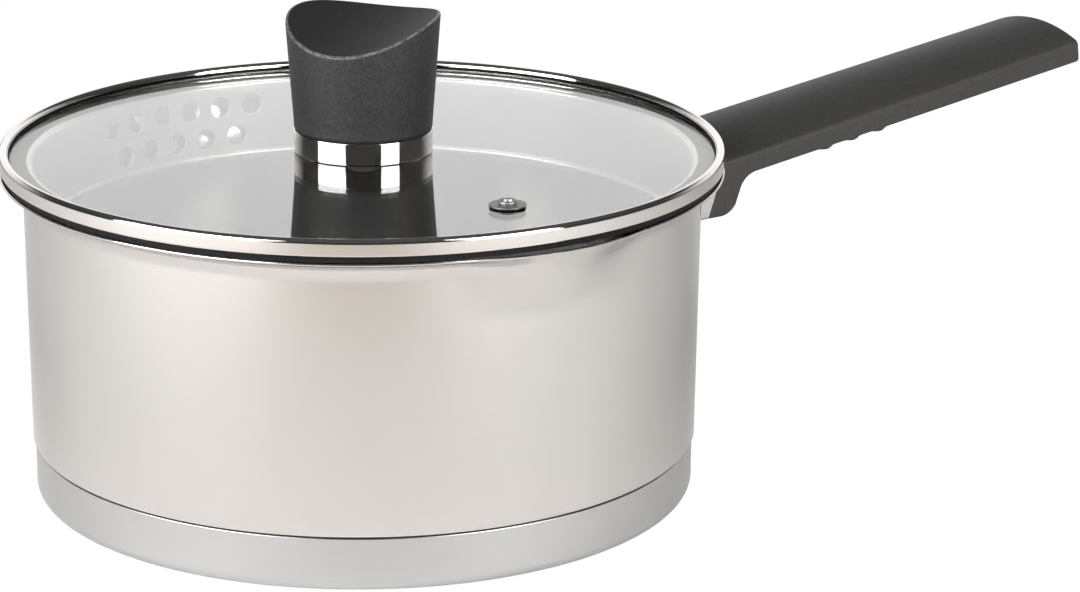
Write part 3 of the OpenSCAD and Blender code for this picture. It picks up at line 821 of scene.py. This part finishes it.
def tempered_glass():
    """Clear tempered glass: the faintest green, and the slow roller waviness that tempering leaves."""
    f = Finish("tempered glass", transmission_weight=1.0, ior=1.5)
    wave = f.noise((9, 26, 9), 1)
    f.feed(base_color=f.between(wave, (0.955, 0.975, 0.965), (0.975, 0.985, 0.98)), roughness=0.012 * wave)
    f.bump(wave, 0.00001)
    return f.material


# ---------------------------------------------------------------- putting it together

POLISHED = polished_steel("polished steel", (0.545, 0.520, 0.500), (0.620, 0.595, 0.572), 0.10, 0.05)
BAND = polished_steel("polished band steel", (0.56, 0.530, 0.505), (0.64, 0.610, 0.582), 0.05, 0.03)
# painted shade: the vent's steel is coloured darker than the lid's other polished steel, which dims its
# reflections
VENT = polished_steel("vent steel with painted shade", (0.30, 0.29, 0.28), (0.40, 0.39, 0.38), 0.42, 0.10)
SCREW = plain_screw_steel()
GRIP_BLACK = moulded_black("moulded grip black", 900.0, 0.00004,
                           (0.025, 0.024, 0.024), (0.050, 0.049, 0.047), 0.56, 0.26)
KNOB_BLACK = moulded_black("grained knob black", 2000.0, 0.00030,
                           (0.004, 0.004, 0.004), (0.050, 0.050, 0.050), 0.54, 0.28, 0.34)
# painted highlight: the rim's rounding is coloured much lighter than the knob, with bright speckles
KNOB_EDGE_HIGHLIGHT = moulded_black("knob edge with painted highlight", 1900.0, 0.00060,
                          (0.004, 0.004, 0.004), (0.190, 0.190, 0.190), 0.36, 0.45, 0.16)
# painted shade: the knob's top hollow is coloured darker than its sides
KNOB_TOP = moulded_black("smooth knob hollow with painted shade", 700.0, 0.00003,
                         (0.010, 0.010, 0.010), (0.022, 0.022, 0.022), 0.60, 0.16)
SEAL = silicone()

# what makes each piece, the node it replaces, its body, its slot in the frame, and its finishes in slot order
made = [
    (make_vessel, "pan_body", "pan", "polished_steel", (POLISHED, shaded_inner_steel(), painted_seam_shade())),
    (make_base_cap, "base_cap", "pan", "satin_steel", (satin_steel(),)),
    (make_bracket, "handle_bracket", "pan", "polished_steel", (POLISHED,)),
    (make_grip, "handle_grip", "pan", "grip_plastic", (GRIP_BLACK,)),
    (make_band, "lid_band", "lid", "polished_steel", (BAND,)),
    (make_skirt, "strainer_skirt", "lid", "sheet_steel", (lit_skirt_steel(),)),
    (make_ferrule, "knob_ferrule", "lid", "polished_steel", (BAND,)),
    (make_knob, "knob_body", "lid", "knob_plastic", (KNOB_BLACK, KNOB_EDGE_HIGHLIGHT, KNOB_TOP)),
    (make_eyelet, "vent_eyelet", "lid", "polished_steel", (VENT,)),
]
for maker, node, body, slot, finishes in made:
    part = maker()
    for finish in finishes:
        part.data.materials.append(finish)
    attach(part, body)
    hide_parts(node)

kept = {
    "base_core": cast_aluminium(), "handle_screw": SCREW, "handle_lock_washer": SCREW,
    "glass_gasket": SEAL, "lid_glass": tempered_glass(),
    "vent_seal": SEAL, "vent_washer": SCREW,
    "knob_insert": turned_brass(), "knob_screw": SCREW, "knob_washer": SCREW, "knob_seal": SEAL,
}
for node, finish in kept.items():
    slots = frame["nodes"][node].data.materials
    if not len(slots):
        slots.append(finish)
    for i in range(len(slots)):
        slots[i] = finish


# ---------------------------------------------------------------- studio

VIEW_TURN = math.radians(-35)
AWAY = (-math.sin(VIEW_TURN), math.cos(VIEW_TURN), 0.0)
RIGHT = (math.cos(VIEW_TURN), math.sin(VIEW_TURN), 0.0)
HEART = Vector((0, 0, 0.06))


def around(turn, rise, reach):
    """A place by its turn to the right of the camera's own direction, its rise, both in degrees, and its
    distance from the pan's heart."""
    a, e = VIEW_TURN - math.pi / 2 + math.radians(turn), math.radians(rise)
    return HEART + reach * Vector((math.cos(e) * math.cos(a), math.cos(e) * math.sin(a), math.sin(e)))


def softbox(name, turn, rise, reach, width, height, power):
    """An upright white rectangle of light that faces the pan's heart."""
    light = bpy.data.lights.new(name, "AREA")
    light.shape, light.size, light.size_y, light.energy = "RECTANGLE", width, height, power
    lamp = bpy.data.objects.new(name, light)
    lamp.location = around(turn, rise, reach)
    lamp.rotation_euler = (HEART - lamp.location).to_track_quat("-Z", "Y").to_euler()
    bpy.context.scene.collection.objects.link(lamp)


def make_floor():
    """A wide flat disc of pale matt board, drawn as rings out to its edge. Its colour is painted greyer and a
    little warmer towards the front, as painted shade where less of the studio's light falls."""
    r = np.concatenate([[0.0], np.geomspace(50, 9000, 24)])[:, None]
    a = np.linspace(0, 2 * math.pi, 96, endpoint=False)
    points = np.stack([r * np.cos(a), r * np.sin(a), -0.4 + 0 * r * a], axis=-1).reshape(-1, 3)
    floor = piece("floor", points, lattice(25, 96, False, True), outward=False)
    f = Finish("pale board")
    where = f.place()
    forward = 0.0 - f.dot(where, AWAY)
    aside = f.dot(where, RIGHT)
    middle = f.ramp(aside * aside, 0.0, 0.050, 1.0, 0.0)
    # painted shade: the board's colour darkens and warms towards the front, most in the middle
    front = f.ramp(forward, 0.12, 0.55) * (0.35 + 0.65 * middle)
    speck = f.noise((30, 30, 30))
    f.feed(base_color=f.between(front * 0.9 + speck * 0.1, (0.86, 0.86, 0.86), (0.50, 0.45, 0.40)),
           roughness=0.8 + 0.1 * speck)
    glow = f.make("ShaderNodeEmission", {}, {"Strength": 1.05})
    seen = f.make("ShaderNodeLightPath", output="Is Camera Ray")
    both = f.make("ShaderNodeMixShader", {}, {0: seen * 0.92, 1: Value(f, f.surface.outputs[0]), 2: glow})
    f.tree.links.new(both.socket, f.tree.nodes["Material Output"].inputs["Surface"])
    floor.data.materials.append(f.material)


def make_world():
    """Soft room: bright behind the pan, dim overhead and low down on the camera's side."""
    world = bpy.data.worlds.new("studio")
    world.use_nodes = True
    bpy.context.scene.world = world
    n = Nodes(world.node_tree)
    where = n.make("ShaderNodeTexCoord", output="Generated")
    away = n.dot(where, AWAY)
    up = n.dot(where, (0, 0, 1))
    backdrop = n.ramp(away, 0.35, 0.9) * n.ramp(up, 0.32, 0.52, 1.0, 0.0)
    room = 0.06 + 1.35 * backdrop + 0.05 * n.ramp(up, 0.45, 0.85)
    seen = n.make("ShaderNodeLightPath", output="Is Camera Ray")
    strength = seen * 1.15 + (1 - seen) * room
    n.tree.links.new(strength.socket, n.tree.nodes["Background"].inputs["Strength"])
    n.tree.nodes["Background"].inputs["Color"].default_value = (1, 1, 1, 1)


make_floor()
make_world()
softbox("left box", -52, 22, 1.15, 1.02, 0.85, 23.6)
softbox("right box", 48, 22, 1.15, 0.61, 0.85, 15.2)

camera = bpy.data.cameras.new("camera")
camera.lens = 125.2
camera.sensor_width = 36
camera.clip_start, camera.clip_end = 0.05, 60
eye = bpy.data.objects.new("camera", camera)
pitch, roll = math.radians(16.84), math.radians(0.48)
# the camera's place in its own frame: right is +X, away is +Y, turned about Z to the pan's frame
place = Vector((0.0526, -1.0763, 0.3827))
eye.matrix_world = (Matrix.Rotation(VIEW_TURN, 4, "Z") @ Matrix.Translation(place)
                    @ Matrix.Rotation(math.pi / 2 - pitch, 4, "X") @ Matrix.Rotation(roll, 4, "Z"))
bpy.context.scene.collection.objects.link(eye)
bpy.context.scene.camera = eye
bpy.context.scene.view_settings.view_transform = "Standard"
